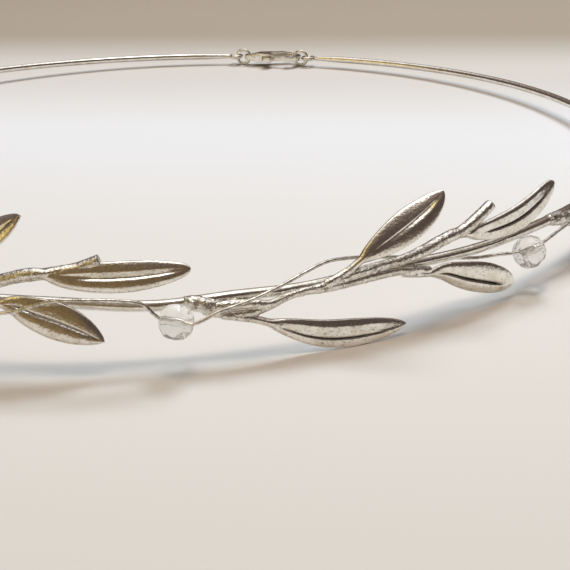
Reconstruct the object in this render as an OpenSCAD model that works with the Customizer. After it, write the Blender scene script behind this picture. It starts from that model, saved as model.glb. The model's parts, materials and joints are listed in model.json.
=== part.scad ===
// A silver head circlet of olive sprays, with crystal beads on a woven wire and a
// lobster clasp at the back. It lies as on a table: the lower leaves carry the front.

/* [Ring] */
// Radius of the head ring, to the middle of its wire
ring_r = 88; // [86:0.5:92]
// Thickness of the ring's round wire
band_d = 1.55; // [1.4:0.05:1.7]
// Height of the ring over the table at the front
front_h = 8.9; // [8.9:0.1:10]
// Height of the ring over the table at the back
back_h = 2.05; // [2.05:0.05:3]

/* [Sprays] */
// Length of a spray, from its soldered base to the tip of its last leaf
spray_len = 58; // [56:1:60]
// Thickness of a leaf at its middle
leaf_t = 1; // [0.8:0.05:1.2]
// Depth of the groove along a leaf, as a share of the leaf's thickness
groove = 0.35; // [0:0.05:0.45]
// Size of every twig, as a share of the modelled one
twig_scale = 1; // [0.9:0.05:1.1]

/* [Beads] */
// Diameter of a crystal bead
bead_d = 5; // [4.5:0.1:5.2]
// Diameter of the hole through a bead
bead_hole = 1; // [0.8:0.05:1.2]
// Thickness of the thin wire that carries the beads
thread_d = 0.5; // [0.4:0.05:0.55]

/* [Clasp] */
// Thickness of the clasp at its waist
clasp_t = 2.3; // [2.2:0.05:2.5]
// Thickness of the clasp's lever
lever_t = 0.84; // [0.7:0.02:0.86]
// Diameter of the pin that the lever turns on
pin_d = 0.8; // [0.7:0.05:0.8]
// Play between the pin and the lever's bore, all round
pin_play = 0.05; // [0.03:0.01:0.08]
// Angle from the ring's right side round to the middle of the clasp
clasp_at = 88; // [86:1:90]

/* [Hidden] */

deg_per_mm = 180 / PI / ring_r;
rest_tilt = asin((front_h - back_h) / (2 * ring_r));
rest_lift = (front_h + back_h) / 2;

// One row for each spray, in the order of its base round the ring: angle of the base,
// rise of the tip end, turn about the ring's wire, dip of the wire at the base, turn of the
// last leaf's face, rise of the last, upper and front leaves' tips, shift along the ring of
// the stub and upper leaf, and of the front leaf
sprays = [
    [-183.5, 0.6, 22, 0.8, 40, 1.5, 0.5, 0, 1, 0],
    [-144.5, 0.4, 0, 1.05, 20, 2.5, 0, 0, 0, -0.5],
    [-105.3, 0.8, 0, 0.8, 12, 0.4, 1.2, 0.6, 2.2, -1.3],
    [-67.2, 0, 0, 1.3, 60, 3.3, 0, 0, 0, 0],
    [-27.3, 0.5, 24, 0.4, 30, 1.5, 0.5, 0, 1, 0]];
BASE = 0;
CLIMB = 1;
ROLL = 2;
DIP = 3;
TIP_LEAN = 4;
TIP_RISE = 5;
UPPER_RISE = 6;
FRONT_RISE = 7;
TOP_SHIFT = 8;
FRONT_SHIFT = 9;

silver = [0.82, 0.81, 0.78];
crystal = [0.9, 0.92, 0.93, 0.6];

function unit(a) = a / norm(a);
function mix(a, b, t) = a + (b - a) * t;

// A smooth curve through hand-chosen points, with some steps between two of them
function curve_point(p, i, t) =
    let (last = len(p) - 1, a = p[max(i - 1, 0)], b = p[i], c = p[min(i + 1, last)], d = p[min(i + 2, last)])
    0.5 * (2 * b + (c - a) * t + (2 * a - 5 * b + 4 * c - d) * t * t + (3 * b - a - 3 * c + d) * t * t * t);
function curve(p, steps) =
    [for (i = [0 : len(p) - 2], k = [0 : steps - 1]) curve_point(p, i, k / steps), p[len(p) - 1]];
function along(p, t) =
    let (x = t * (len(p) - 1), i = min(floor(x), len(p) - 2)) curve_point(p, i, x - i);

// Height of the ring's wire over its plane: a little higher at the front, dipping at each base
function bump(a, at, spread) = exp(-pow((a - at) / spread, 2));
function band_v(a) = 0.35 * (1 - sin(a))
    - sum([for (row = sprays) row[DIP] * bump(a, row[BASE] - 3, 6.5) + 0.5 * bump(a, row[BASE] + 27, 9)]);
function sum(list, i = 0) = i >= len(list) ? 0 : list[i] + sum(list, i + 1);

// A place by its angle round the ring, its distance out from the wire and its height
function place(a, out, up) = [(ring_r + out) * cos(a), (ring_r + out) * sin(a), up];
function facing(a, lean) = [cos(lean) * cos(a), cos(lean) * sin(a), sin(lean)];

// A place on a spray: s along the ring from its base, u out, v up from the wire at its base
function spot(row, p) =
    let (a = row[BASE] + p[0] * deg_per_mm, v = p[2] + row[CLIMB] * p[0] / spray_len,
        out = p[1] * cos(row[ROLL]) - v * sin(row[ROLL]),
        up = v * cos(row[ROLL]) + p[1] * sin(row[ROLL]))
    place(a, out, up + band_v(row[BASE]));

// One ring of points across a limb: its middle, its direction, the way its face looks
function section(c, dir, face, outline, wide, deep) =
    let (side = unit(cross(face, dir)), front = cross(dir, side))
    [for (p = outline) c + side * p[0] * wide / 2 + front * p[1] * deep / 2];
function heading(path, i) = unit(path[min(i + 1, len(path) - 1)] - path[max(i - 1, 0)]);

function oval(n) = [for (i = [0 : n - 1]) [cos(360 * i / n), sin(360 * i / n)]];
function blade(cut) = [[1, 0], [0.5, 0.9], [0, 0.9 - cut], [-0.5, 0.9], [-1, 0], [-0.45, -0.8], [0.45, -0.8]];

// Joins rings of points into one closed skin
module skin(rings) {
    n = len(rings[0]);
    top = (len(rings) - 1) * n;
    walls = [for (i = [0 : len(rings) - 2], j = [0 : n - 1])
        let (a = i * n + j, b = i * n + (j + 1) % n) each [[a, a + n, b + n], [a, b + n, b]]];
    caps = [for (j = [1 : n - 2]) each [[0, j, j + 1], [top, top + j + 1, top + j]]];
    polyhedron([for (ring = rings) each ring], concat(walls, caps));
}

// Stands the crown on the table, as it comes to rest
module resting() {
    translate([0, 0, rest_lift]) rotate([-rest_tilt, 0, 0]) children();
}

// Twigs of one spray, row by row: s, u, v, width across, thickness
stem = [[-1, 0.5, -0.7, 1.2, 1.2], [1.5, 0.95, -1.2, 2.2, 1.6], [4.5, 1.2, -1.6, 2.4, 1.5],
    [7, 1.35, -1.5, 2.3, 1.4], [9.5, 1.45, -0.75, 1.5, 1.3], [12, 1.5, -0.1, 1.2, 1.2],
    [15.5, 1.5, 0.15, 1.35, 1.3], [18.8, 1.5, 0.4, 1.9, 1.5], [22.5, 1.5, 0.85, 1.9, 1.5],
    [27, 1.5, 1.1, 2.4, 1.6], [30.5, 1.5, 1.15, 2.9, 1.6], [32.5, 1.5, 1.2, 2, 1.2]];
branch = [[28.5, 1.5, 1.6, 1.5, 1.3], [31.5, 1.45, 2.3, 1.8, 1.4], [34.5, 1.4, 3.2, 1.7, 1.4],
    [37.5, 1.35, 4.1, 1.9, 1.5], [39.5, 1.4, 4.5, 1.7, 1.4]];
stub = [[37.5, 1.35, 4, 1.5, 1.3], [39.5, 1.4, 5.2, 1.5, 1.35], [43.6, 1.5, 7.1, 1.4, 1.1]];

// Leaves of one spray: points of the midrib (s, u, v), width, share of the length that is
// bare stalk, where the blade is widest along its length, how pointed it is, turn of its face
low_leaf = [[[3, 1.3, -1.9], [7, 1.6, -2.5], [12.5, 2.4, -4.1], [17, 3.1, -5.9], [22.5, 3.5, -6.4],
    [27.6, 3.6, -6]], 3.9, 0.18, 0.5, 0.85, 25];
upper_leaf = [[[17.5, 1.5, 0.7], [20, 1.5, 2], [22.2, 1.6, 3.9], [27, 1.9, 6.2], [31.5, 2.2, 8.8],
    [34.8, 2.4, 11.2]], 5.1, 0.32, 0.52, 0.62, 10];
front_leaf = [[[28.5, 1.5, 0.4], [32.5, 1.6, -0.1], [36.5, 1.9, -1.2], [41, 2.4, -3], [44.7, 2.8, -4.6],
    [48, 3, -6]], 5, 0.22, 0.55, 0.6, 15];
last_leaf = [[[37, 1.35, 3.4], [41, 1.4, 3.2], [46, 1.5, 3], [51, 1.6, 3.2], [58, 1.7, 3.7]],
    4, 0.1, 0.5, 0.5];
RIB = 0;
WIDTH = 1;
STALK = 2;
WIDEST = 3;
POINTED = 4;
LEAN = 5;
stalk_w = 1.2;
blade_steps = 8;

// Half width of a blade along its length, from 0 at its base through 1 to 0 at its tip
function blade_share(t, shape) = pow(max(sin(180 * pow(t, ln(0.5) / ln(shape[WIDEST]))), 0), shape[POINTED]);

module leaf(row, shape, lean, rise = 0, shift = 0) {
    rib = shape[RIB];
    last = len(rib) - 1;
    bent = [for (i = [0 : last]) rib[i] + [shift * min(2 * i / last, 1), 0, rise * pow(i / last, 3)]];
    ts = concat([0, shape[STALK] / 2], [for (k = [0 : blade_steps]) mix(shape[STALK], 1, k / blade_steps)]);
    path = [for (t = ts) spot(row, along(bent, t))];
    skin([for (k = [0 : len(ts) - 1])
        let (t = max((ts[k] - shape[STALK]) / (1 - shape[STALK]), 0), share = blade_share(t, shape),
            wide = max(share * shape[WIDTH], stalk_w * (1 - 0.8 * t)),
            deep = mix(stalk_w, leaf_t, min(t * 3, 1)) * (t == 1 ? 0.5 : 1),
            a = row[BASE] + along(bent, ts[k])[0] * deg_per_mm)
        section(path[k], heading(path, k), facing(a, lean + row[ROLL]), blade(2 * groove * share), wide, deep)]);
}

module twig(row, table, shift = 0) {
    path = [for (i = [0 : len(table) - 1]) let (p = table[i])
        spot(row, [p[0] + shift, p[1], p[2] - 0.5 * shift * i / len(table)])];
    skin([for (k = [0 : len(table) - 1])
        section(path[k], heading(path, k), facing(row[BASE] + table[k][0] * deg_per_mm, row[ROLL]),
            oval(8), table[k][3] * twig_scale, table[k][4] * twig_scale)]);
}

// A lump of solder: s, u, v, diameter at each of its two ends
solder_lumps = [[[-1.4, 0.1, 0, 1.65], [1.3, 0.6, -0.6, 2.2]], [[1.2, 0.7, -0.7, 2.2], [4.6, 0.8, -0.7, 1.5]]];
module solder(row) {
    for (lump = solder_lumps)
        hull()
            for (end = lump)
                translate(spot(row, end)) sphere(d = end[3], $fn = 10);
}

module spray(row) {
    twig(row, stem);
    twig(row, branch);
    twig(row, stub, row[TOP_SHIFT]);
    leaf(row, low_leaf, low_leaf[LEAN]);
    leaf(row, upper_leaf, upper_leaf[LEAN], row[UPPER_RISE], row[TOP_SHIFT]);
    leaf(row, front_leaf, front_leaf[LEAN], row[FRONT_RISE], row[FRONT_SHIFT]);
    leaf(row, last_leaf, row[TIP_LEAN], row[TIP_RISE]);
    solder(row);
}

// The clasp's own frame lies along the ring at the back: x to the right, y outwards
eye_left_x = -10.48;
eye_right_x = 8.6;
eye_r = 1.3;
eye_wire_d = 1;
clasp_in = 0.6;
ring_left_x = -8.49;
ring_right_x = 6.61;
link_r = 1.7;
link_d = 0.7;

module at_clasp() {
    rotate(clasp_at) translate([ring_r - clasp_in, 0, band_v(clasp_at)]) rotate(-90) children();
}

// The band ends in two eyes, bent from its own wire
band_steps = 78;
module band() {
    from = clasp_at + asin((eye_r - eye_left_x) / ring_r) - 360;
    to = clasp_at - asin((eye_r + eye_right_x) / ring_r);
    angles = [for (i = [0 : band_steps]) mix(from, to, i / band_steps)];
    path = [for (a = angles) place(a, 0, band_v(a))];
    skin([for (i = [0 : band_steps])
        section(path[i], heading(path, i), facing(angles[i], 0), oval(8), band_d, band_d)]);
    at_clasp()
        for (x = [eye_left_x, eye_right_x])
            translate([x, 0, 0])
                rotate_extrude($fn = 16) translate([eye_r, 0]) circle(d = eye_wire_d, $fn = 6);
}

module garland() {
    color(silver) resting() {
        band();
        for (row = sprays) spray(row);
    }
}

// Way of the thin wire past one spray, in front of its base and then behind or before its
// twigs: s, u, v from the ring's wire beside it
weave_base = [[3, 3, -1.3], [7, 2.6, -0.35], [10.7, 1.6, 0.75], [13.7, 0.8, 1.55], [16.8, 0.2, 2.2],
    [20.6, -0.3, 2.25]];
weave_behind = [[24.8, -0.9, 1.55], [29, -1.25, 0.8], [33.4, -1.3, 0.15], [37, -1.35, -0.4],
    [40.8, -1.2, -0.95], [45, -0.4, -1.9]];
weave_before = [[24.2, 0.8, 2.7], [28, 2.9, 1.6], [32, 3.2, -0.9], [36, 3.1, -0.2], [40.6, 3, 1.2],
    [45.5, 2.9, 1.6], [49.1, 1.4, 1.15], [51, 0.9, 0.75]];
BEFORE = [0, 2];

// One row for each bead: angle round the ring, distance out, height from the ring's wire,
// slope of the thin wire through it
bead_rows = [[-190, 3, -1.55, 3], [-147.4, 3, -1.55, -8], [-110.8, 3, -1.55, -3], [-69.2, 3.1, -1.35, -12],
    [-34.1, 2.95, -1.62, 7], [11, 3, -1.55, 3]];
bead_reach = 3;
coil_turns = 3;
coil_pitch = 0.6;
coil_steps = 10;
coil_r = (band_d + thread_d) / 2 + 0.15;
coil_starts = [[-199, -80], [17.5, -80]];

function beside(a, out, up) = place(a, out, up + band_v(a));
function bead_dir(row) = unit([-sin(row[0]) * cos(row[3]), cos(row[0]) * cos(row[3]), sin(row[3])]);
function bead_mid(row) = beside(row[0], row[1], row[2]);
function through(row) = [for (d = [-bead_reach, 0, bead_reach]) bead_mid(row) + bead_dir(row) * d];
function coil(at, turn) = [for (i = [0 : coil_turns * coil_steps])
    let (phi = turn + 360 * i / coil_steps)
    beside(at + coil_pitch * i / coil_steps * deg_per_mm, coil_r * cos(phi), coil_r * sin(phi))];
function weave(k) =
    let (row = sprays[k], c = cos(row[ROLL]), s = sin(row[ROLL]),
        before = len(search(k, BEFORE)) > 0,
        rows = concat(weave_base, before ? weave_before : weave_behind))
    [for (p = rows) beside(row[BASE] + p[0] * deg_per_mm, p[1] * c - p[2] * s, p[2] * c + p[1] * s)];
function away(p) = let (a = atan2(p[1], p[0])) unit(p - place(a, 0, band_v(a > 90 ? a - 360 : a)));

// The thin wire is wound on the ring at both ends and carries the beads between
module bead_wire() {
    woven = [for (k = [0 : len(sprays) - 1]) each concat(through(bead_rows[k]), weave(k)),
        each through(bead_rows[len(sprays)])];
    path = concat(coil(coil_starts[0][0], coil_starts[0][1]), curve(woven, 2),
        coil(coil_starts[1][0], coil_starts[1][1]));
    color(silver) resting()
        skin([for (i = [0 : len(path) - 1])
            section(path[i], heading(path, i), away(path[i]), oval(6), thread_d, thread_d)]);
}

// A round crystal bead: rings of a facet's corners, share of the radius along and across, turn
bead_sides = 10;
facet_rings = [[-0.88, 0.44, 0], [-0.55, 0.86, 18], [0, 1, 0], [0.55, 0.86, 18], [0.88, 0.44, 0]];
module bead(i) {
    row = bead_rows[i];
    color(crystal) resting()
        translate(bead_mid(row)) rotate([0, -row[3], row[0] + 90]) rotate([0, 90, 0])
            difference() {
                skin([for (ring = facet_rings)
                    [for (j = [0 : bead_sides - 1]) let (a = ring[2] + 360 * j / bead_sides)
                        [ring[1] * cos(a), ring[1] * sin(a), ring[0]] * bead_d / 2]]);
                cylinder(h = 2 * bead_d, d = bead_hole, center = true, $fn = 24);
            }
}

// The clasp: a hook with a gate on the ring's inner side, thinner at its head and tail
head_x = 3.4;
head_r = 3.2;
mouth_x = 3.5;
mouth_r = 2;
waist_x = -3.6;
waist_r = 1.7;
tail_x = -6.6;
tail_r = 1.5;
tail_hole_d = 1.5;
throat = [-0.3, -0.2];
throat_r = 1.1;
gate_from = -0.9;
gate_to = 3.1;
pivot = [-2.3, -0.9];
pivot_r = 0.9;
tab = [-1.3, -3];
tab_r = 1.15;
lever_bend = [[0, -1.75], [1.9, -1.85]];
lever_tip = [4.1, -1.25];
lever_end_r = 0.3;
lever_w = 0.8;
lever_open = 22;
slot_t = 1;
side_play = 0.15;

module dot(at, r) {
    translate(at) circle(r = r, $fn = 48);
}

module clasp_outline() {
    difference() {
        union() {
            hull() {
                dot([head_x, 0], head_r);
                dot([waist_x, 0], waist_r);
            }
            hull() {
                dot([waist_x, 0], waist_r);
                dot([tail_x, 0], tail_r);
            }
        }
        hull() {
            dot([mouth_x, 0], mouth_r);
            dot(throat, throat_r);
        }
        dot([tail_x, 0], tail_hole_d / 2);
        translate([gate_from, -2 * head_r]) square([gate_to - gate_from, 2 * head_r]);
    }
}

// Side view of the clasp, which thins its head and tail to pass through the rings
module clasp_profile() {
    half = clasp_t / 2;
    polygon([[tail_x - 3, 0.5], [tail_x, 0.6], [waist_x - 0.8, half], [1, half], [head_x + 1, 0.62],
        [head_x + 4, 0.55], [head_x + 4, -0.55], [head_x + 1, -0.62], [1, -half], [waist_x - 0.8, -half],
        [tail_x, -0.6], [tail_x - 3, -0.5]]);
}

module clasp_body() {
    color(silver) resting() at_clasp() {
        difference() {
            intersection() {
                linear_extrude(clasp_t, center = true) clasp_outline();
                rotate([90, 0, 0]) linear_extrude(3 * head_r, center = true) clasp_profile();
            }
            linear_extrude(slot_t, center = true)
                hull() {
                    dot(pivot, pivot_r + side_play);
                    dot(tab, tab_r + side_play);
                    dot([-0.5, -2.4], tab_r + side_play);
                    dot([0.3, -0.9], 1.5);
                }
        }
        translate(pivot) cylinder(h = clasp_t - 0.2, d = pin_d, center = true, $fn = 32);
    }
}

// The lever turns on the pin into the clasp's mouth, and a spring inside shuts it again
module clasp_lever() {
    color(silver) resting() at_clasp()
        difference() {
            linear_extrude(lever_t, center = true) {
                dot(pivot, pivot_r);
                hull() {
                    dot(pivot, lever_w / 2);
                    dot(lever_bend[0], lever_w / 2);
                }
                hull() {
                    dot(lever_bend[0], lever_w / 2);
                    dot(lever_bend[1], lever_w / 2);
                }
                hull() {
                    dot(lever_bend[1], lever_w / 2);
                    dot(lever_tip, lever_end_r);
                }
                hull() {
                    dot(pivot, lever_w / 2);
                    dot(tab, tab_r);
                }
            }
            translate(pivot) cylinder(h = clasp_t, d = pin_d + 2 * pin_play, center = true, $fn = 32);
        }
}

// A round ring that links the clasp to an eye, standing on its edge
module clasp_ring(x) {
    color(silver) resting() at_clasp()
        translate([x, 0, 0]) rotate([90, 0, 0])
            rotate_extrude($fn = 48) translate([link_r, 0]) circle(d = link_d, $fn = 24);
}

garland();
bead_wire();
bead(0);  // bead_1
bead(1);  // bead_2
bead(2);  // bead_3
bead(3);  // bead_4
bead(4);  // bead_5
bead(5);  // bead_6
clasp_body();
clasp_lever();
clasp_ring(ring_left_x);  // clasp_ring_left
clasp_ring(ring_right_x);  // clasp_ring_right
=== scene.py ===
import json
from math import asin, atan2, copysign, cos, exp, log, pi, radians, sin

import bpy
from mathutils import Matrix, Vector

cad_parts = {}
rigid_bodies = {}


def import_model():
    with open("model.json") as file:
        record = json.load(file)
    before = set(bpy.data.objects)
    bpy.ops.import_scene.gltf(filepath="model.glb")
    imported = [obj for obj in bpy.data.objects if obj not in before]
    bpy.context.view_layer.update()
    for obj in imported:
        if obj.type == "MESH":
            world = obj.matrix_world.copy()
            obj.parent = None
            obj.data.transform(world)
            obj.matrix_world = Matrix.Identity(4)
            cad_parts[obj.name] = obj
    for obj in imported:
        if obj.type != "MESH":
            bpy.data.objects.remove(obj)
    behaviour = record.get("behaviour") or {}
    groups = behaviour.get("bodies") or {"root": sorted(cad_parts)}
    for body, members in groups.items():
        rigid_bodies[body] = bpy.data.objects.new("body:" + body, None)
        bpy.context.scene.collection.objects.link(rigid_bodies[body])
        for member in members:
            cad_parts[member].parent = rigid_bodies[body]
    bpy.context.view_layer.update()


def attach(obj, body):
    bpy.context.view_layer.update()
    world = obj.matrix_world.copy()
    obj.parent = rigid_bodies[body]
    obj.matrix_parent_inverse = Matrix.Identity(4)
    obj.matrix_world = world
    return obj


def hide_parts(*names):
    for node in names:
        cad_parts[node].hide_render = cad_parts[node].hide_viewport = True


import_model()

# The crown as it lies on the table. The ring's plane leans a little, because the leaves under
# the front lift it there and the clasp's rings carry it at the back.
ring_radius = 0.088
front_height = 0.0089
back_height = 0.00205
lean = asin((front_height - back_height) / (2 * ring_radius))
resting = Matrix.Translation((0, 0, (front_height + back_height) / 2)) @ Matrix.Rotation(-lean, 4, "X")

# Camera, low in front and a little to the right, as the picture was taken.
camera_spot = Vector((0.0840, -0.2336, 0.0605))
camera_turn = radians(14)
camera_pitch = radians(20.3)
camera_roll = radians(-1.5)
right = Vector((cos(camera_turn), sin(camera_turn), 0))
ahead = Vector((-sin(camera_turn) * cos(camera_pitch), cos(camera_turn) * cos(camera_pitch),
                -sin(camera_pitch)))
above = right.cross(ahead)
level = Matrix((right, above, -ahead)).transposed()
camera = bpy.data.objects.new("camera", bpy.data.cameras.new("camera"))
bpy.context.scene.collection.objects.link(camera)
camera.matrix_world = resting @ Matrix.Translation(camera_spot) @ (
    level @ Matrix.Rotation(camera_roll, 3, "Z")).to_4x4()
sensor_width = 36
picture_width = 570
focal_length_in_pixels = 1300
camera.data.sensor_width = sensor_width
camera.data.lens = sensor_width * focal_length_in_pixels / picture_width
camera.data.clip_start = 0.01
bpy.context.scene.camera = camera

# The table: pale paper, with painted shade: a little darker at the near side, and a warm painted
# shade behind the crown. It is turned so that the painted shade comes nearer at the right.
table_turn = radians(5)
near_edge, far_edge = -0.20, 0.30
paper_and_painted_shade_tones = [(0.0, (0.565, 0.53, 0.505)), (0.30, (0.615, 0.595, 0.595)), (0.44, (0.615, 0.615, 0.655)),
               (0.56, (0.50, 0.47, 0.46)), (0.66, (0.29, 0.245, 0.205)), (1.0, (0.225, 0.18, 0.15))]


# Gives a colour ramp its tones, each with its place from 0 to 1
def fill_ramp(ramp, tones):
    for element, (position, tone) in zip(ramp.elements, (tones[0], tones[-1])):
        element.position = position
        element.color = (*tone, 1)
    for position, tone in tones[1:-1]:
        ramp.elements.new(position).color = (*tone, 1)


bpy.ops.object.select_all(action="DESELECT")
bpy.ops.mesh.primitive_plane_add(size=3, location=(0, 0, 0), rotation=(0, 0, table_turn))
table = bpy.context.object
table.name = "table"
paper = bpy.data.materials.new("paper")
paper.use_nodes = True
nodes, links = paper.node_tree.nodes, paper.node_tree.links
shader = nodes["Principled BSDF"]
shader.inputs["Roughness"].default_value = 0.75
shader.inputs["Specular IOR Level"].default_value = 0.15
place = nodes.new("ShaderNodeTexCoord")
axes = nodes.new("ShaderNodeSeparateXYZ")
links.new(place.outputs["Object"], axes.inputs[0])
depth = nodes.new("ShaderNodeMapRange")
depth.inputs["From Min"].default_value = near_edge
depth.inputs["From Max"].default_value = far_edge
links.new(axes.outputs["Y"], depth.inputs["Value"])
# Painted shade on the paper, darker toward the near and far edges, by depth
shade = nodes.new("ShaderNodeValToRGB")
shade.color_ramp.interpolation = "EASE"
fill_ramp(shade.color_ramp, paper_and_painted_shade_tones)
links.new(depth.outputs["Result"], shade.inputs["Fac"])
links.new(shade.outputs["Color"], shader.inputs["Base Color"])
table.data.materials.append(paper)


# Light: a cool soft box behind the crown and a warm one above it, so that a shadow has a bluish
# and a brown band. The metal doesn't mirror them. It mirrors the table and the room, which is
# bright overhead and brown or dark elsewhere.
def soft_box(name, spot, width, height, power, colour):
    lamp = bpy.data.lights.new(name, "AREA")
    lamp.shape = "RECTANGLE"
    lamp.size, lamp.size_y = width, height
    lamp.energy = power
    lamp.color = colour
    holder = bpy.data.objects.new(name, lamp)
    bpy.context.scene.collection.objects.link(holder)
    holder.location = spot
    holder.visible_glossy = False
    holder.rotation_euler = (Vector((0, 0, 0)) - Vector(spot)).to_track_quat("-Z", "Y").to_euler()


soft_box("box_behind", spot=(0.07, 0.44, 0.66), width=0.30, height=0.22, power=5.95, colour=(0.84, 0.95, 1))
soft_box("box_above", spot=(0.02, -0.02, 0.80), width=0.28, height=0.20, power=2.5, colour=(1, 0.80, 0.58))
room = bpy.data.worlds.new("room")
room.use_nodes = True
nodes, links = room.node_tree.nodes, room.node_tree.links
look = nodes.new("ShaderNodeTexCoord")


# A tone by how squarely a ray faces a direction: 0 is straight away from it, 1 straight at it
def tone_toward(direction, tones):
    toward = nodes.new("ShaderNodeVectorMath")
    toward.operation = "DOT_PRODUCT"
    toward.inputs[1].default_value = direction
    links.new(look.outputs["Generated"], toward.inputs[0])
    span = nodes.new("ShaderNodeMapRange")
    span.inputs["From Min"].default_value = -1
    links.new(toward.outputs["Value"], span.inputs["Value"])
    ramp = nodes.new("ShaderNodeValToRGB")
    fill_ramp(ramp.color_ramp, tones)
    links.new(span.outputs["Result"], ramp.inputs["Fac"])
    return ramp.outputs["Color"]


black, white = (0, 0, 0), (1, 1, 1)
ceiling = (1.20, 1.19, 1.18)
window = (2.4, 2.4, 2.3)
walls = tone_toward((-0.05, 0.26, 0.964), [
    (0, (0.26, 0.20, 0.155)), (0.36, (0.25, 0.195, 0.15)), (0.46, (0.12, 0.092, 0.075)),
    (0.58, (0.083, 0.062, 0.055)), (0.70, (0.092, 0.070, 0.066)), (0.80, (0.150, 0.117, 0.112)),
    (0.85, (0.25, 0.195, 0.165)), (0.885, (0.34, 0.28, 0.24)), (0.92, (0.98, 0.97, 0.96)),
    (0.955, ceiling), (1, ceiling)])
warmth = tone_toward((-0.45, -0.85, 0.26), [
    (0, black), (0.78, black), (0.92, (0.10, 0.062, 0)), (1, (0.15, 0.095, 0.01))])
overhead = tone_toward((0.03, -0.03, 1), [(0, black), (0.982, black), (0.993, window), (1, window)])


def brighter(a, b):
    both = nodes.new("ShaderNodeMix")
    both.data_type = "RGBA"
    both.blend_type = "ADD"
    both.clamp_result = False
    both.inputs["Factor"].default_value = 1
    links.new(a, both.inputs["A"])
    links.new(b, both.inputs["B"])
    return both.outputs["Result"]


# Two small golden lamps at the left, which glint in the metal: the way to each, and how squarely
# a ray faces it at the lamp's faint edge and at its full light
golden_lamps = [((-0.37, -0.45, 0.81), 0.982, 0.990), ((-0.75, -0.64, 0.17), 0.972, 0.986)]
golden_light = (1.2, 0.95, 0.40, 1)
seen = brighter(brighter(walls, warmth), overhead)
for direction, edge, full in golden_lamps:
    lit = nodes.new("ShaderNodeMix")
    lit.data_type = "RGBA"
    lit.clamp_result = False
    lit.inputs["B"].default_value = golden_light
    share = tone_toward(direction, [(0, black), (edge, black), (full, white), (1, white)])
    links.new(share, lit.inputs["Factor"])
    links.new(seen, lit.inputs["A"])
    seen = lit.outputs["Result"]
links.new(seen, nodes["Background"].inputs["Color"])

# The room gives the table less light than it shows to the metal, which keeps the shadows deep
light_on_table = 0.55
ray = nodes.new("ShaderNodeLightPath")
fill = nodes.new("ShaderNodeMapRange")
fill.inputs["To Min"].default_value = 1
fill.inputs["To Max"].default_value = light_on_table
links.new(ray.outputs["Is Diffuse Ray"], fill.inputs["Value"])
links.new(fill.outputs["Result"], nodes["Background"].inputs["Strength"])
bpy.context.scene.world = room
bpy.context.scene.view_settings.view_transform = "Standard"

# Ring wire: a hard round wire bent to a ring, dipping a little at each soldered spray. Each
# end is bent round into a flat eye. Polished silver plate.
mm = 0.001
ring_in_mm = 88
degrees_per_mm = 180 / pi / ring_in_mm
band_thickness = 1.55
clasp_angle = 88
clasp_radius = 87.4
eye_left, eye_right = -10.48, 8.6
eye_radius = 1.3
eye_thickness = 1.0
front_rise = 0.35
tip_dip = 0.5

# Where the sprays sit: the angle of the base, the climb of the tip end, the roll, the dip of the
# wire under it and the shift of the stub. Then, for each leaf but the low one, its width, its
# turn, the rise of its tip, its arch and its shift along the spray.
sprays = [
    dict(base=-183.5, climb=0.6, roll=22, dip=0.8, shift=1,
         upper=(4.7, 15, 0.5, 0, 1), front=(4.5, 8, 0, 0, 0), last=(4.1, 15, 1.5, 0, 0)),
    dict(base=-144.5, climb=0.4, roll=0, dip=1.13, shift=0,
         upper=(4.7, 12, 0, 0, 0), front=(4.5, 8, 0, 0, -0.5), last=(3.9, 15, 2.5, 0, 0)),
    dict(base=-105.3, climb=0.4, roll=0, dip=0.8, shift=2.2,
         upper=(4.7, 30, 1.2, 1.6, 2.6), hooked=(4.9, 18, 0.05, 1.0, -1.1), last=(4.15, 20, 0.4, 0.25, 0)),
    dict(base=-67.2, climb=0, roll=0, dip=1.3, shift=0,
         upper=(4.6, 27, 0, 0, 0), front=(4.5, 0, 0, 0, 0), curled=(3.75, 12, 3.9, 0, 0.1)),
    dict(base=-27.3, climb=0.5, roll=24, dip=0, shift=1,
         upper=(4.7, 15, 0.5, 0, 1), front=(4.5, 8, 0, 0, 0), last=(4.1, 15, 1.5, 0, 0))]


# The wire rises toward the front. In degrees from each spray's base, it dips round -3 and 8.5
# under the spray, and a little round 27 under its tip.
def wire_height(angle):
    height = front_rise * (1 - sin(radians(angle)))
    for spray in sprays:
        on = angle - spray["base"]
        height -= spray["dip"] * (exp(-((on + 3) / 6.5) ** 2) + 0.73 * exp(-((on - 8.5) / 6) ** 2))
        height -= tip_dip * exp(-((on - 27) / 9) ** 2)
    return height


def on_ring(angle, out, up):
    a = radians(angle)
    return Vector(((ring_in_mm + out) * cos(a), (ring_in_mm + out) * sin(a), up))


def at_clasp(x, y, z):
    a = radians(clasp_angle)
    across = Vector((sin(a), -cos(a), 0))
    outward = Vector((cos(a), sin(a), 0))
    return outward * (clasp_radius + y) + across * x + Vector((0, 0, wire_height(clasp_angle) + z))


# Draws a wire through points in millimetres, with its thickness at each of them, and places it
def draw_wire(name, points, thicknesses, sides, placed):
    bpy.ops.object.select_all(action="DESELECT")
    bpy.ops.curve.primitive_nurbs_path_add()
    wire = bpy.context.object
    wire.name = name
    drawn = wire.data
    drawn.dimensions = "3D"
    drawn.splines.clear()
    line = drawn.splines.new("POLY")
    line.points.add(len(points) - 1)
    for spot, point, thick in zip(line.points, points, thicknesses):
        spot.co = (*(point * mm), 1)
        spot.radius = thick
    drawn.bevel_depth = 0.5 * mm
    drawn.bevel_resolution = sides // 2 - 2
    drawn.use_fill_caps = True
    drawn.twist_mode = "MINIMUM"
    bpy.ops.object.convert(target="MESH")
    wire = bpy.context.object
    wire.data.transform(placed)
    bpy.ops.object.shade_smooth_by_angle(angle=radians(50))
    return wire


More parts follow.
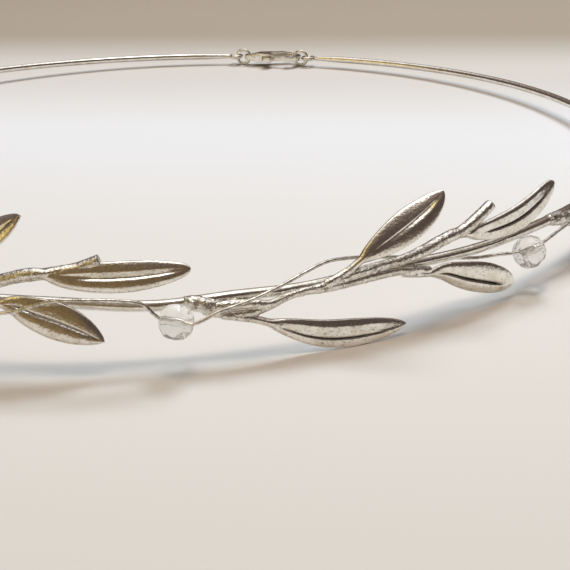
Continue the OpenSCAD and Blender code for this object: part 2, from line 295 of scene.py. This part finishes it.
first_angle = clasp_angle + 360 / (2 * pi) * asin((eye_radius - eye_left) / ring_in_mm) - 360
last_angle = clasp_angle - 360 / (2 * pi) * asin((eye_radius + eye_right) / ring_in_mm)
eye_step = 14
steps = 400
taper = 5
band_points, band_sizes = [], []
for turn in range(340, 20, -eye_step):
    a = radians(180 - turn)
    band_points.append(at_clasp(eye_left + eye_radius * cos(a), eye_radius * sin(a), 0))
    band_sizes.append(eye_thickness)
for i in range(steps + 1):
    angle = first_angle + (last_angle - first_angle) * i / steps
    ends = min(i, steps - i)
    band_points.append(on_ring(angle, 0, wire_height(angle)))
    band_sizes.append(eye_thickness + (band_thickness - eye_thickness) * min(ends / taper, 1))
for turn in range(20, 350, eye_step):
    a = radians(turn)
    band_points.append(at_clasp(eye_right + eye_radius * cos(a), eye_radius * sin(a), 0))
    band_sizes.append(eye_thickness)
ring_wire = draw_wire("ring_wire", band_points, band_sizes, 16, resting)


# The finish of cast and polished silver plate: fine grain, scattered pits, a few dull patches, and
# a painted shade along each leaf's crease, where the mesh says so. It puts out a height for the bump, a
# roughness and a tint.
def cast_finish():
    group = bpy.data.node_groups.new("cast_finish", "ShaderNodeTree")
    face = group.interface
    for name, value in (("Grain", 0.5), ("Pits", 0.3), ("Gloss", 0.12), ("Dullness", 0.2)):
        face.new_socket(name=name, in_out="INPUT", socket_type="NodeSocketFloat").default_value = value
    face.new_socket(name="Height", in_out="OUTPUT", socket_type="NodeSocketFloat")
    face.new_socket(name="Roughness", in_out="OUTPUT", socket_type="NodeSocketFloat")
    face.new_socket(name="Tint", in_out="OUTPUT", socket_type="NodeSocketColor")
    nodes, links = group.nodes, group.links
    given = nodes.new("NodeGroupInput")
    result = nodes.new("NodeGroupOutput")
    place = nodes.new("ShaderNodeTexCoord")

    def speckle(scale, detail, roughness=0.55):
        noise = nodes.new("ShaderNodeTexNoise")
        noise.inputs["Scale"].default_value = scale
        noise.inputs["Detail"].default_value = detail
        noise.inputs["Roughness"].default_value = roughness
        links.new(place.outputs["Object"], noise.inputs["Vector"])
        return noise.outputs["Fac"]

    def work(operation, a, b):
        node = nodes.new("ShaderNodeMath")
        node.operation = operation
        for slot, value in zip(node.inputs, (a, b)):
            if isinstance(value, (int, float)):
                slot.default_value = value
            else:
                links.new(value, slot)
        return node.outputs[0]

    def span(value, low, high, to_low, to_high):
        node = nodes.new("ShaderNodeMapRange")
        node.interpolation_type = "SMOOTHSTEP"
        for slot, given_value in zip(node.inputs, (value, low, high, to_low, to_high)):
            if isinstance(given_value, (int, float)):
                slot.default_value = given_value
            else:
                links.new(given_value, slot)
        return node.outputs[0]

    grain = work("MULTIPLY", speckle(scale=2600, detail=4), given.outputs["Grain"])
    swell = work("MULTIPLY", speckle(scale=700, detail=2), given.outputs["Grain"])
    pits = span(speckle(scale=3400, detail=2, roughness=0.4), 0.60, 0.72, 0, 1)
    pits = work("MULTIPLY", pits, given.outputs["Pits"])
    height = work("SUBTRACT", work("ADD", grain, work("MULTIPLY", swell, 1.6)), work("MULTIPLY", pits, 0.3))
    dull = span(speckle(scale=380, detail=3), 0.35, 0.70, 0, 1)
    rough = work("ADD", given.outputs["Gloss"], work("MULTIPLY", dull, 0.10))
    rough = work("ADD", rough, work("MULTIPLY", pits, 0.35))
    links.new(height, result.inputs["Height"])
    links.new(rough, result.inputs["Roughness"])
    tint = nodes.new("ShaderNodeMix")
    tint.data_type = "RGBA"
    tint.inputs["A"].default_value = (0.91, 0.88, 0.82, 1)
    tint.inputs["B"].default_value = (0.80, 0.75, 0.66, 1)
    links.new(dull, tint.inputs["Factor"])
    patches = span(speckle(scale=1300, detail=5, roughness=0.6), 0.42, 0.62, 0, 1)
    patches = work("MULTIPLY", patches, given.outputs["Dullness"])
    mottled = nodes.new("ShaderNodeMix")
    mottled.data_type = "RGBA"
    mottled.inputs["B"].default_value = (0.30, 0.27, 0.24, 1)
    links.new(patches, mottled.inputs["Factor"])
    links.new(tint.outputs["Result"], mottled.inputs["A"])
    # The painted shade in each leaf's crease, from the mesh, and the pits darken the tint to near black
    crease = nodes.new("ShaderNodeAttribute")
    crease.attribute_name = "painted_crease_shade"
    dark = nodes.new("ShaderNodeMix")
    dark.data_type = "RGBA"
    dark.inputs["B"].default_value = (0.03, 0.022, 0.018, 1)
    links.new(work("MAXIMUM", crease.outputs["Fac"], pits), dark.inputs["Factor"])
    links.new(mottled.outputs["Result"], dark.inputs["A"])
    links.new(dark.outputs["Result"], result.inputs["Tint"])
    return group


cast_group = cast_finish()


def silver(name, grain, pits, gloss, dullness, relief):
    metal = bpy.data.materials.new(name)
    metal.use_nodes = True
    nodes, links = metal.node_tree.nodes, metal.node_tree.links
    shader = nodes["Principled BSDF"]
    shader.inputs["Metallic"].default_value = 1
    cast = nodes.new("ShaderNodeGroup")
    cast.node_tree = cast_group
    cast.inputs["Grain"].default_value = grain
    cast.inputs["Pits"].default_value = pits
    cast.inputs["Gloss"].default_value = gloss
    cast.inputs["Dullness"].default_value = dullness
    bump = nodes.new("ShaderNodeBump")
    bump.inputs["Strength"].default_value = 1
    bump.inputs["Distance"].default_value = relief
    links.new(cast.outputs["Height"], bump.inputs["Height"])
    links.new(bump.outputs["Normal"], shader.inputs["Normal"])
    links.new(cast.outputs["Roughness"], shader.inputs["Roughness"])
    links.new(cast.outputs["Tint"], shader.inputs["Base Color"])
    return metal


drawn_silver = silver("drawn_silver", grain=0.7, pits=0.3, gloss=0.13, dullness=0.15, relief=0.00004)
ring_wire.data.materials.append(drawn_silver)
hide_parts("garland")
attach(ring_wire, "crown")

# Olive sprays: each is cast in one piece, with a forked twig, a cut stub and four grooved
# leaves. They are modelled upright and straight: x along the ring, y inwards, z up.
leaf_thickness = 1.0
stalk_thickness = 1.2
low_leaf_width = 3.85
low_leaf_turn = 16
spray_length = 58

# Each kind of leaf has a rib, drawn through places along the ring, outward and up. stalk is the
# stalk's share of it, widest the place of the greatest width, and a greater pointed makes it
# slimmer toward its ends. crease says where the crease starts and ends, and how fast it deepens;
# groove is its upper edge, its bottom and its lower edge across the blade; drift lowers it toward
# the tip. dark is how strong the painted shade in the crease is, and twist turns the tip against the stalk.
leaf_kinds = {
    "low": dict(
        rib=[(3, 1.3, -1.8), (7.2, 1.6, -2.75), (11.5, 2.2, -4.25), (15.7, 2.9, -5.47),
             (19.7, 3.35, -5.9), (23.8, 3.55, -5.99), (27.7, 3.6, -6.05)],
        stalk=0.22, widest=0.53, pointed=0.53, dark=1, twist=4, crease=(0.2, 0.84, 8),
        groove=(-0.14, -0.34, -0.46), drift=0),
    "upper": dict(
        rib=[(17, 1.5, 0.9), (20, 1.5, 2.1), (22.8, 1.6, 3.9), (25.9, 1.8, 5.6), (29, 2, 7.35),
             (32, 2.2, 9.25), (34.4, 2.4, 11.35)],
        stalk=0.25, widest=0.57, pointed=0.55, dark=0, twist=30, crease=(0.17, 0.98, 1.9),
        groove=(0.12, -0.05, -0.26), drift=0),
    "front": dict(
        rib=[(28.5, 1.5, 0.45), (32, 1.6, -0.3), (35.3, 1.8, -0.65), (38.6, 2.1, -1.8),
             (41.8, 2.45, -2.8), (44.8, 2.8, -3.8), (47.45, 3, -4.65)],
        stalk=0.19, widest=0.62, pointed=0.45, dark=1, twist=8, crease=(0.1, 0.9, 8),
        groove=(0.12, -0.05, -0.26), drift=0.28),
    "last": dict(
        rib=[(37.5, 1.35, 4.2), (41.6, 1.45, 3.7), (45.8, 1.5, 3.45), (49.8, 1.6, 3.4),
             (53.8, 1.65, 3.6), (57.7, 1.7, 3.9)],
        stalk=0.08, widest=0.5, pointed=0.45, dark=0.2, twist=6, crease=(0.2, 0.97, 8),
        groove=(0.12, -0.05, -0.26), drift=0)}
leaf_kinds["curled"] = dict(leaf_kinds["last"], widest=0.56, pointed=0.37, dark=1, twist=18,
                            crease=(0.16, 0.88, 8))
leaf_kinds["hooked"] = dict(leaf_kinds["front"], widest=0.56, pointed=0.68, dark=0.5, twist=4,
                            crease=(0.1, 0.97, 8), drift=0)


def spray_point(spray, s, out, up):
    return Vector((s, -out, up + spray["climb"] * s / spray_length))


# Height of a blade's face, from its upper edge through the crease to its lower edge. The two
# halves of a blade slope up to the sky, or down to the table.
blade_faces = {
    "low": [(1, 0), (0.985, 0.16), (0.96, 0.28), (0.94, 0.33), (0.74, 0.415), (0.53, 0.46),
            (0.46, 0.46), (0.3, 0.405), (0, 0.30), (-0.18, 0.235), (-0.26, 0.17), (-0.31, 0.12),
            (-0.35, 0.16), (-0.39, 0.26), (-0.43, 0.30), (-0.6, 0.24), (-0.85, 0.145), (-0.95, 0.08),
            (-1, 0)],
    "upper": [(1, 0), (0.985, 0.19), (0.95, 0.29), (0.9, 0.365), (0.75, 0.475), (0.5, 0.57),
              (0.3, 0.59), (0.1, 0.595), (0.06, 0.57), (0.02, 0.42), (-0.02, 0.31), (-0.06, 0.31),
              (-0.24, 0.525), (-0.31, 0.55), (-0.4, 0.54), (-0.5, 0.51), (-0.6, 0.455), (-0.7, 0.395),
              (-0.8, 0.315), (-0.93, 0.17), (-1, 0)],
    "front": [(1, 0), (0.985, 0.13), (0.94, 0.25), (0.86, 0.36), (0.74, 0.45), (0.6, 0.5), (0.35, 0.51),
              (0.1, 0.45), (0.03, 0.38), (-0.02, 0.2), (-0.06, 0.2), (-0.12, 0.3), (-0.19, 0.44),
              (-0.24, 0.46), (-0.4, 0.455), (-0.6, 0.33), (-0.8, 0.2), (-0.92, 0.11), (-1, 0)],
    "hooked": [(1, 0), (0.985, 0.2), (0.96, 0.32), (0.92, 0.37), (0.8, 0.43), (0.6, 0.5), (0.35, 0.52),
               (0.1, 0.47), (0.04, 0.36), (-0.02, 0.2), (-0.05, 0.22), (-0.12, 0.34), (-0.2, 0.43),
               (-0.3, 0.46), (-0.42, 0.465), (-0.52, 0.455), (-0.66, 0.39), (-0.8, 0.28), (-0.92, 0.15),
               (-1, 0)],
    "last": [(1, 0), (0.985, 0.13), (0.96, 0.225), (0.92, 0.29), (0.8, 0.385), (0.7, 0.43), (0.5, 0.49),
             (0.34, 0.52), (0.1, 0.36), (-0.05, 0.27), (-0.1, 0.28), (-0.17, 0.4), (-0.25, 0.5),
             (-0.45, 0.535), (-0.62, 0.53), (-0.75, 0.46), (-0.87, 0.35), (-0.95, 0.2), (-1, 0)],
    "curled": [(1, 0), (0.98, 0.15), (0.92, 0.32), (0.84, 0.43), (0.7, 0.49), (0.6, 0.5), (0.4, 0.44),
               (0.1, 0.36), (0.03, 0.32), (-0.02, 0.24), (-0.08, 0.28), (-0.18, 0.37), (-0.3, 0.38),
               (-0.6, 0.27), (-0.85, 0.14), (-0.95, 0.07), (-1, 0)]}


def face_height(face, across):
    for (a, high), (b, low) in zip(face, face[1:]):
        if across >= b:
            return low + (high - low) * (across - b) / (a - b)
    return 0


# The face's height where the crease is pressed in only to a part of its depth, from 0 to 1
def creased_height(face, across, top, bottom, depth):
    height = face_height(face, across)
    if bottom < across < top:
        a, b = face_height(face, bottom), face_height(face, top)
        bridged = a + (b - a) * (across - bottom) / (top - bottom)
        height = bridged + (height - bridged) * depth
    return height


# A blade starts as a round rod along x. It is rolled flat, and the crease along it is pressed in.
def blade(name, width, length):
    kind, face = leaf_kinds[name], blade_faces[name]
    start, end, rate = kind["crease"]
    top, bottom_line, bottom = kind["groove"]
    rows, sides = 60, 96
    smooth_front, smooth_back = 0.42, 0.4
    stamped_depth = 0.92
    rod_depth, rod_width = 0.45, 0.9
    tip_thinning = 0.35
    # How far the painted shade reaches across the blade from the crease's bottom
    painted_crease_shade_width = 0.075
    bpy.ops.object.select_all(action="DESELECT")
    bpy.ops.mesh.primitive_cylinder_add(vertices=sides, radius=0.5, depth=1, rotation=(0, pi / 2, 0))
    rod = bpy.context.object
    bpy.ops.object.transform_apply(location=True, rotation=True, scale=True)
    bpy.ops.object.mode_set(mode="EDIT")
    bpy.ops.mesh.select_all(action="DESELECT")
    bpy.ops.mesh.select_mode(type="EDGE")
    bpy.ops.object.mode_set(mode="OBJECT")
    for edge in rod.data.edges:
        a, b = (rod.data.vertices[i].co for i in edge.vertices)
        edge.select = abs(a.x - b.x) > 0.5
    bpy.ops.object.mode_set(mode="EDIT")
    bpy.ops.mesh.subdivide_edgering(number_cuts=rows - 1, smoothness=0)
    bpy.ops.object.mode_set(mode="OBJECT")
    power = log(0.5) / log(kind["widest"])
    # Each vertex's share of the painted shade that darkens the bottom of the crease
    painted_crease_shade = rod.data.attributes.new("painted_crease_shade", "FLOAT", "POINT")
    # t runs along the leaf, b along the blade without its stalk, and across from edge to edge
    for v in rod.data.vertices:
        t = v.co.x + 0.5
        a = atan2(-v.co.y, v.co.z)
        across = copysign(abs(cos(a)) ** 1.3, cos(a))
        b = max((t - kind["stalk"]) / (1 - kind["stalk"]), 0)
        share = max(sin(pi * min(b, 1) ** power), 0) ** kind["pointed"]
        half = max(share * width, rod_width * stalk_thickness * (1 - 0.8 * b)) / 2
        flat = min(b * 4, 1)
        flat = flat * flat * (3 - 2 * flat)
        edge = (1 - abs(across) ** 3) ** 0.5
        plain = smooth_front * edge
        pressed = min(2.2 * share, 1) * min((1 - b) * 5, 1)
        creased = min(max((b - start) * rate, 0), 1) * min(max((end - b) * 8, 0), 1)
        place = across + kind["drift"] * b * (1 - across * across)
        front = plain + (stamped_depth * creased_height(face, place, top, bottom, creased) - plain) * pressed
        outer = sin(a) > 0
        thick = (front if outer else -smooth_back * edge) * (1 - tip_thinning * b ** 6) * leaf_thickness
        if outer:
            from_line = (place - bottom_line) / painted_crease_shade_width
            painted_crease_shade.data[v.index].value = kind["dark"] * creased * exp(-from_line ** 4)
        turned = Matrix.Rotation(-radians(kind["twist"] * (t - 0.5)), 2)
        depth = sin(a) * rod_depth * stalk_thickness * (1 - flat) + thick * flat
        deep, high = turned @ Vector((-depth, across * half))
        v.co = (t * length, deep * mm, high * mm)
    bpy.ops.object.shade_smooth_by_angle(angle=radians(60))
    return rod


# Puts places between the given ones, on a smooth way through them
def smooth_way(points, steps):
    way = []
    last = len(points) - 1
    for i in range(last):
        a, b = points[max(i - 1, 0)], points[i]
        c, d = points[i + 1], points[min(i + 2, last)]
        for k in range(steps):
            t = k / steps
            square, cube = 2 * a - 5 * b + 4 * c - d, 3 * b - a - 3 * c + d
            way.append(0.5 * (2 * b + (c - a) * t + square * t * t + cube * t ** 3))
    return way + [points[-1]]


def pick(piece):
    bpy.ops.object.select_all(action="DESELECT")
    piece.select_set(True)
    bpy.context.view_layer.objects.active = piece


# A leaf is a straight blade, bent along its rib, and a rod for the stalk that melts into the twig
def leaf(spray, name, width, turn, rise=0, arch=0, shift=0):
    rib, stalk = leaf_kinds[name]["rib"], leaf_kinds[name]["stalk"]
    points = []
    for i, (s, out, up) in enumerate(rib):
        x = i / (len(rib) - 1)
        raised = up + rise * x ** 3 + 4 * arch * x * (1 - x)
        points.append(spray_point(spray, s + shift * min(2 * x, 1), out, raised))
    way = smooth_way(points, 8)
    length = sum((b - a).length for a, b in zip(way, way[1:])) * mm
    piece = blade(name, width, length)
    piece.data.transform(Matrix.Rotation(-radians(turn), 4, "X"))
    bpy.ops.curve.primitive_nurbs_path_add()
    guide = bpy.context.object
    guide.data.dimensions = "3D"
    guide.data.twist_mode = "Z_UP"
    guide.data.splines.clear()
    line = guide.data.splines.new("POLY")
    line.points.add(len(way) - 1)
    for spot, point in zip(line.points, way):
        spot.co = (*(point * mm), 1)
    pick(piece)
    bend = piece.modifiers.new("rib", "CURVE")
    bend.object = guide
    bend.deform_axis = "POS_X"
    bpy.ops.object.modifier_apply(modifier="rib")
    bpy.data.objects.remove(guide)
    bare = round((stalk + 0.1) * (len(way) - 1))
    sizes = [stalk_thickness * (1 - 0.6 * (i / bare) ** 3) for i in range(bare + 1)]
    rod = draw_wire("stalk", way[:bare + 1], sizes, 16, Matrix.Identity(4))
    return piece, rod


# Places along the ring, outward and up, and the twig's thickness there
twigs = {
    "upper_strand": [(-1, 0.5, -0.6, 1.2), (1.5, 0.95, -0.65, 1.45), (4.5, 1.2, -0.5, 1.45),
                     (7, 1.35, -0.6, 1.35), (9.3, 1.45, -0.9, 1.2), (11.7, 1.5, -0.1, 1.1),
                     (14, 1.5, 0.34, 1.15), (16.2, 1.5, 0.56, 1.15), (18.4, 1.5, 0.98, 1.15),
                     (22.5, 1.5, 1.85, 1.4), (26.4, 1.5, 2.25, 1.3), (28.5, 1.5, 2.35, 1.5),
                     (31.5, 1.45, 2.9, 1.7), (34.5, 1.4, 3.75, 1.75), (37.5, 1.35, 4.35, 1.7),
                     (39.7, 1.4, 4.35, 1.1)],
    "lower_strand": [(0.5, 0.7, -1.2, 1.1), (2.5, 1.05, -1.6, 1.3), (4.5, 1.2, -1.85, 1.4),
                     (7, 1.35, -1.75, 1.3), (9.3, 1.45, -1.1, 1.2), (11.7, 1.5, -0.15, 1.05),
                     (14, 1.5, 0.22, 1.1), (16.2, 1.5, 0.25, 1.2), (18.4, 1.5, 0.38, 1.3),
                     (22.5, 1.5, 0.78, 1.45), (26.4, 1.5, 0.98, 1.45), (28.5, 1.5, 0.78, 1.3),
                     (30.5, 1.5, 0.5, 1.3), (33, 1.55, 0, 1.1)],
    "stub": [(35, 1.35, 3.7, 1.4), (38.8, 1.35, 4.65, 1.6), (41, 1.4, 5.65, 1.75), (44, 1.5, 7.45, 1.6)]}
stub_inset = 0.35
stub_drop = 0.29


# A twig, whose free end can be shifted along the spray: it then leans inward and lies lower
def twig(spray, rows, shift=0):
    points = []
    for i, (s, out, up, size) in enumerate(rows):
        moved = shift * min(i / 2, 1)
        lowered = stub_drop * shift * max(i - 0.5, 0)
        points.append(spray_point(spray, s + moved, out - stub_inset * moved, up - lowered))
    sized = [p.to_4d() for p in points]
    for p, row in zip(sized, rows):
        p.w = row[3]
    way = smooth_way(sized, 6)
    return draw_wire("twig", [p.to_3d() for p in way], [p.w for p in way], 16, Matrix.Identity(4))


# Rolls a straight piece about the spray's line, bends it to the ring and sets it at its base
def spray_in_place(piece, spray):
    pick(piece)
    piece.data.transform(Matrix.Rotation(-radians(spray["roll"]), 4, "X"))
    along = [v.co.x for v in piece.data.vertices]
    bend = piece.modifiers.new("bend", "SIMPLE_DEFORM")
    bend.deform_method = "BEND"
    bend.deform_axis = "Z"
    bend.angle = (max(along) - min(along)) / ring_radius
    bpy.ops.object.modifier_apply(modifier="bend")
    base = spray["base"]
    piece.data.transform(resting @ Matrix.Rotation(radians(base + 90), 4, "Z")
                         @ Matrix.Translation((0, -ring_radius, wire_height(base) * mm)))


def join(parts):
    bpy.ops.object.select_all(action="DESELECT")
    for part in parts:
        part.select_set(True)
    bpy.context.view_layer.objects.active = parts[0]
    bpy.ops.object.join()
    return bpy.context.object


# Melts rods into one casting, and polishes it a little
def fuse(parts, grain_size, rounds):
    piece = join(parts)
    melt = piece.modifiers.new("melt", "REMESH")
    melt.mode = "VOXEL"
    melt.voxel_size = grain_size
    melt.use_smooth_shade = True
    bpy.ops.object.modifier_apply(modifier="melt")
    polish = piece.modifiers.new("polish", "SMOOTH")
    polish.factor = 0.5
    polish.iterations = rounds
    bpy.ops.object.modifier_apply(modifier="polish")
    return piece


def uneven(piece, texture, depth):
    pick(piece)
    dent = piece.modifiers.new("dent", "DISPLACE")
    dent.texture = texture
    dent.strength = depth * mm
    dent.texture_coords = "LOCAL"
    bpy.ops.object.modifier_apply(modifier="dent")


cast_dents = bpy.data.textures.new("cast_dents", "CLOUDS")
cast_dents.noise_scale = 0.0008
cast_dents.noise_depth = 3
leaf_silver = silver("leaf_silver", grain=0.8, pits=0.45, gloss=0.13, dullness=0.15, relief=0.00005)
twig_silver = silver("twig_silver", grain=1.2, pits=0.7, gloss=0.16, dullness=0.40, relief=0.00009)
leaf_order = ("upper", "front", "hooked", "last", "curled")
for number, spray in enumerate(sprays, 1):
    leaves = [leaf(spray, "low", low_leaf_width, low_leaf_turn)]
    leaves += [leaf(spray, kind, *spray[kind]) for kind in leaf_order if kind in spray]
    rods = [twig(spray, twigs["upper_strand"]), twig(spray, twigs["lower_strand"]),
            twig(spray, twigs["stub"], spray["shift"])] + [rod for face, rod in leaves]
    twigs_fused = fuse(rods, grain_size=0.11 * mm, rounds=4)
    uneven(twigs_fused, cast_dents, depth=0.10)
    twigs_fused.data.materials.clear()
    twigs_fused.data.materials.append(twig_silver)
    for face, rod in leaves:
        face.data.materials.append(leaf_silver)
    piece = join([twigs_fused] + [face for face, rod in leaves])
    piece.name = f"spray_{number}"
    spray_in_place(piece, spray)
    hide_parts("garland")
    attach(piece, "crown")

# Solder joints: at the base of every spray a lump of silver solder, rough and pitted, wraps
# the ring wire and the spray's end. It is drawn like a short thick twig.
lump = [(-1.9, 0.1, 0, 1.6), (-1.3, 0.15, -0.05, 1.85), (0, 0.3, -0.2, 2.15), (1.3, 0.6, -0.6, 2.3),
        (2.6, 0.7, -0.75, 2.1), (3.8, 0.75, -0.8, 1.8), (5.2, 0.8, -0.8, 1.3)]
solder_silver = silver("solder_silver", grain=1.4, pits=0.8, gloss=0.2, dullness=0.7, relief=0.00010)
solder_dents = bpy.data.textures.new("solder_dents", "CLOUDS")
solder_dents.noise_scale = 0.0005
for number, spray in enumerate(sprays, 1):
    piece = fuse([twig(spray, lump)], grain_size=0.1 * mm, rounds=2)
    piece.name = f"solder_{number}"
    uneven(piece, solder_dents, depth=0.2)
    spray_in_place(piece, spray)
    piece.data.materials.clear()
    piece.data.materials.append(solder_silver)
    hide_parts("garland")
    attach(piece, "crown")

# Bead wire: half-millimetre wire, wound three times on the ring wire at both ends. It passes in
# front of every spray's base, threads a bead, and slips behind or before the twigs.

# A bead's row is its angle round the ring, its place outward and up, and its slope. The weave's
# rows are places along the ring from a spray's base, outward and up.
bead_rows = [(-190, 3, -1.55, 3), (-147.4, 3, -1.55, -8), (-110.8, 3, -1.55, -3),
             (-69.2, 3.1, -1.3, -15), (-34.1, 2.95, -1.58, -1), (11, 3, -1.55, 3)]
weave_base = [(2.2, 3, -0.85), (4.6, 2.8, -0.35), (7.5, 2.4, 0.35), (10.8, 1.8, 1.4), (14, 1, 2.35)]
weave_behind = [(17.6, 0.3, 3.05), (21.2, -0.3, 2.6), (24.8, -0.9, 1.75), (29, -1.25, 0.9),
                (33.4, -1.35, 0.15), (37, -1.4, -0.6), (40.3, -1.15, -1.2), (43, 0, -1.45),
                (45.5, 1.6, -1.2)]
weave_before = [(17.6, 1.4, 3.3), (20.5, 2.6, 3.1), (24, 3, 2), (28, 3.1, 0.6), (32, 3, -0.7),
                (35, 2.95, -0.4), (37.5, 2.9, 0.45), (40.6, 3.1, 1.45), (44.5, 2.9, 1.7),
                (48.4, 2.6, 1.7), (51.3, 2.8, 1.35)]
# The sprays that the wire passes in front of, counted from 0 in the order of the list
passes_before = (0, 2)
thread_thickness = 0.5
coil_radius = (band_thickness + thread_thickness) / 2 + 0.15
coil_pitch = 0.6
coil_turns, coil_steps = 3, 20
coil_start = -80
first_coil, last_coil = -199, 17.5
bead_reach = 2.35
bead_hang = 0.17


def bead_place(row):
    angle, out, up, slope = row
    a, b = radians(angle), radians(slope)
    middle = on_ring(angle, out, up + wire_height(angle))
    return middle, Vector((-sin(a) * cos(b), cos(a) * cos(b), sin(b)))


def through(row):
    middle, along = bead_place(row)
    return [middle + Vector((0, 0, bead_hang)) + along * reach for reach in (-bead_reach, 0, bead_reach)]


def coil(angle, turn):
    points = []
    for i in range(coil_turns * coil_steps + 1):
        a = radians(turn + 360 / coil_steps * i)
        at = angle + coil_pitch * i / coil_steps * degrees_per_mm
        points.append(on_ring(at, coil_radius * cos(a), coil_radius * sin(a) + wire_height(at)))
    return points


woven = []
for number, spray in enumerate(sprays):
    woven += through(bead_rows[number])
    c, s = cos(radians(spray["roll"])), sin(radians(spray["roll"]))
    for along, out, up in weave_base + (weave_before if number in passes_before else weave_behind):
        at = spray["base"] + along * degrees_per_mm
        woven.append(on_ring(at, out * c - up * s, up * c + out * s + wire_height(at)))
woven += through(bead_rows[-1])
bead_path = coil(first_coil, coil_start) + smooth_way(woven, 8) + coil(last_coil, coil_start)
woven_wire = draw_wire("woven_wire", bead_path, [thread_thickness] * len(bead_path), 12, resting)
thread_silver = silver("thread_silver", grain=0.7, pits=0.3, gloss=0.22, dullness=0.7, relief=0.00004)
woven_wire.data.materials.append(thread_silver)
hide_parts("bead_wire")
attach(woven_wire, "crown")

# Beads: clear fire-polished crystal, cut with facets and drilled, threaded on the bead wire.
# Their edges are softened by the polish.
crystal = bpy.data.materials.new("crystal")
crystal.use_nodes = True
shader = crystal.node_tree.nodes["Principled BSDF"]
shader.inputs["Base Color"].default_value = (0.98, 0.985, 0.98, 1)
shader.inputs["Roughness"].default_value = 0.12
shader.inputs["IOR"].default_value = 1.22
shader.inputs["Transmission Weight"].default_value = 0.8
for number in range(1, len(bead_rows) + 1):
    cut = bpy.data.objects[f"bead_{number}"]
    piece = bpy.data.objects.new(f"crystal_{number}", cut.data.copy())
    bpy.context.scene.collection.objects.link(piece)
    pick(piece)
    bpy.ops.object.mode_set(mode="EDIT")
    bpy.ops.mesh.select_all(action="SELECT")
    bpy.ops.mesh.remove_doubles(threshold=0.00001)
    bpy.ops.mesh.tris_convert_to_quads(face_threshold=radians(2), shape_threshold=radians(60))
    bpy.ops.mesh.dissolve_limited(angle_limit=radians(1))
    bpy.ops.mesh.normals_make_consistent(inside=False)
    bpy.ops.object.mode_set(mode="OBJECT")
    polish = piece.modifiers.new("polish", "BEVEL")
    polish.width = 0.1 * mm
    polish.segments = 2
    polish.limit_method = "ANGLE"
    polish.angle_limit = radians(12)
    bpy.ops.object.modifier_apply(modifier="polish")
    piece.data.materials.clear()
    piece.data.materials.append(crystal)
    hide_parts(f"bead_{number}")
    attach(piece, "crown")

# Lobster clasp: a cast hook and the lever that shuts it, both tumbled until their edges are
# round. Two jump rings of the same silver join it to the eyes of the ring wire.
for node, body in (("clasp_body", "crown"), ("clasp_lever", "clasp_lever")):
    piece = bpy.data.objects.new(node.replace("clasp", "lobster"), bpy.data.objects[node].data.copy())
    bpy.context.scene.collection.objects.link(piece)
    pick(piece)
    bpy.ops.object.mode_set(mode="EDIT")
    bpy.ops.mesh.select_all(action="SELECT")
    bpy.ops.mesh.remove_doubles(threshold=0.000005)
    bpy.ops.mesh.dissolve_limited(angle_limit=radians(1))
    bpy.ops.mesh.normals_make_consistent(inside=False)
    bpy.ops.object.mode_set(mode="OBJECT")
    tumble = piece.modifiers.new("tumble", "BEVEL")
    tumble.width = 0.14 * mm
    tumble.segments = 3
    tumble.limit_method = "ANGLE"
    tumble.angle_limit = radians(35)
    bpy.ops.object.modifier_apply(modifier="tumble")
    bpy.ops.object.shade_smooth_by_angle(angle=radians(40))
    piece.data.materials.clear()
    piece.data.materials.append(drawn_silver)
    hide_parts(node)
    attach(piece, body)

# The cut of each jump ring is at its top, where the ends nearly meet
link_radius = 1.7
link_thickness = 0.7
link_cut, link_sweep, link_steps = 92, 356, 48
for node, x in (("clasp_ring_left", -8.49), ("clasp_ring_right", 6.61)):
    turn = [radians(link_cut + link_sweep * i / link_steps) for i in range(link_steps + 1)]
    points = [at_clasp(x + link_radius * cos(a), 0, link_radius * sin(a)) for a in turn]
    piece = draw_wire(node.replace("clasp", "jump"), points, [link_thickness] * len(points), 16, resting)
    piece.data.materials.append(drawn_silver)
    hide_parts(node)
    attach(piece, "crown")
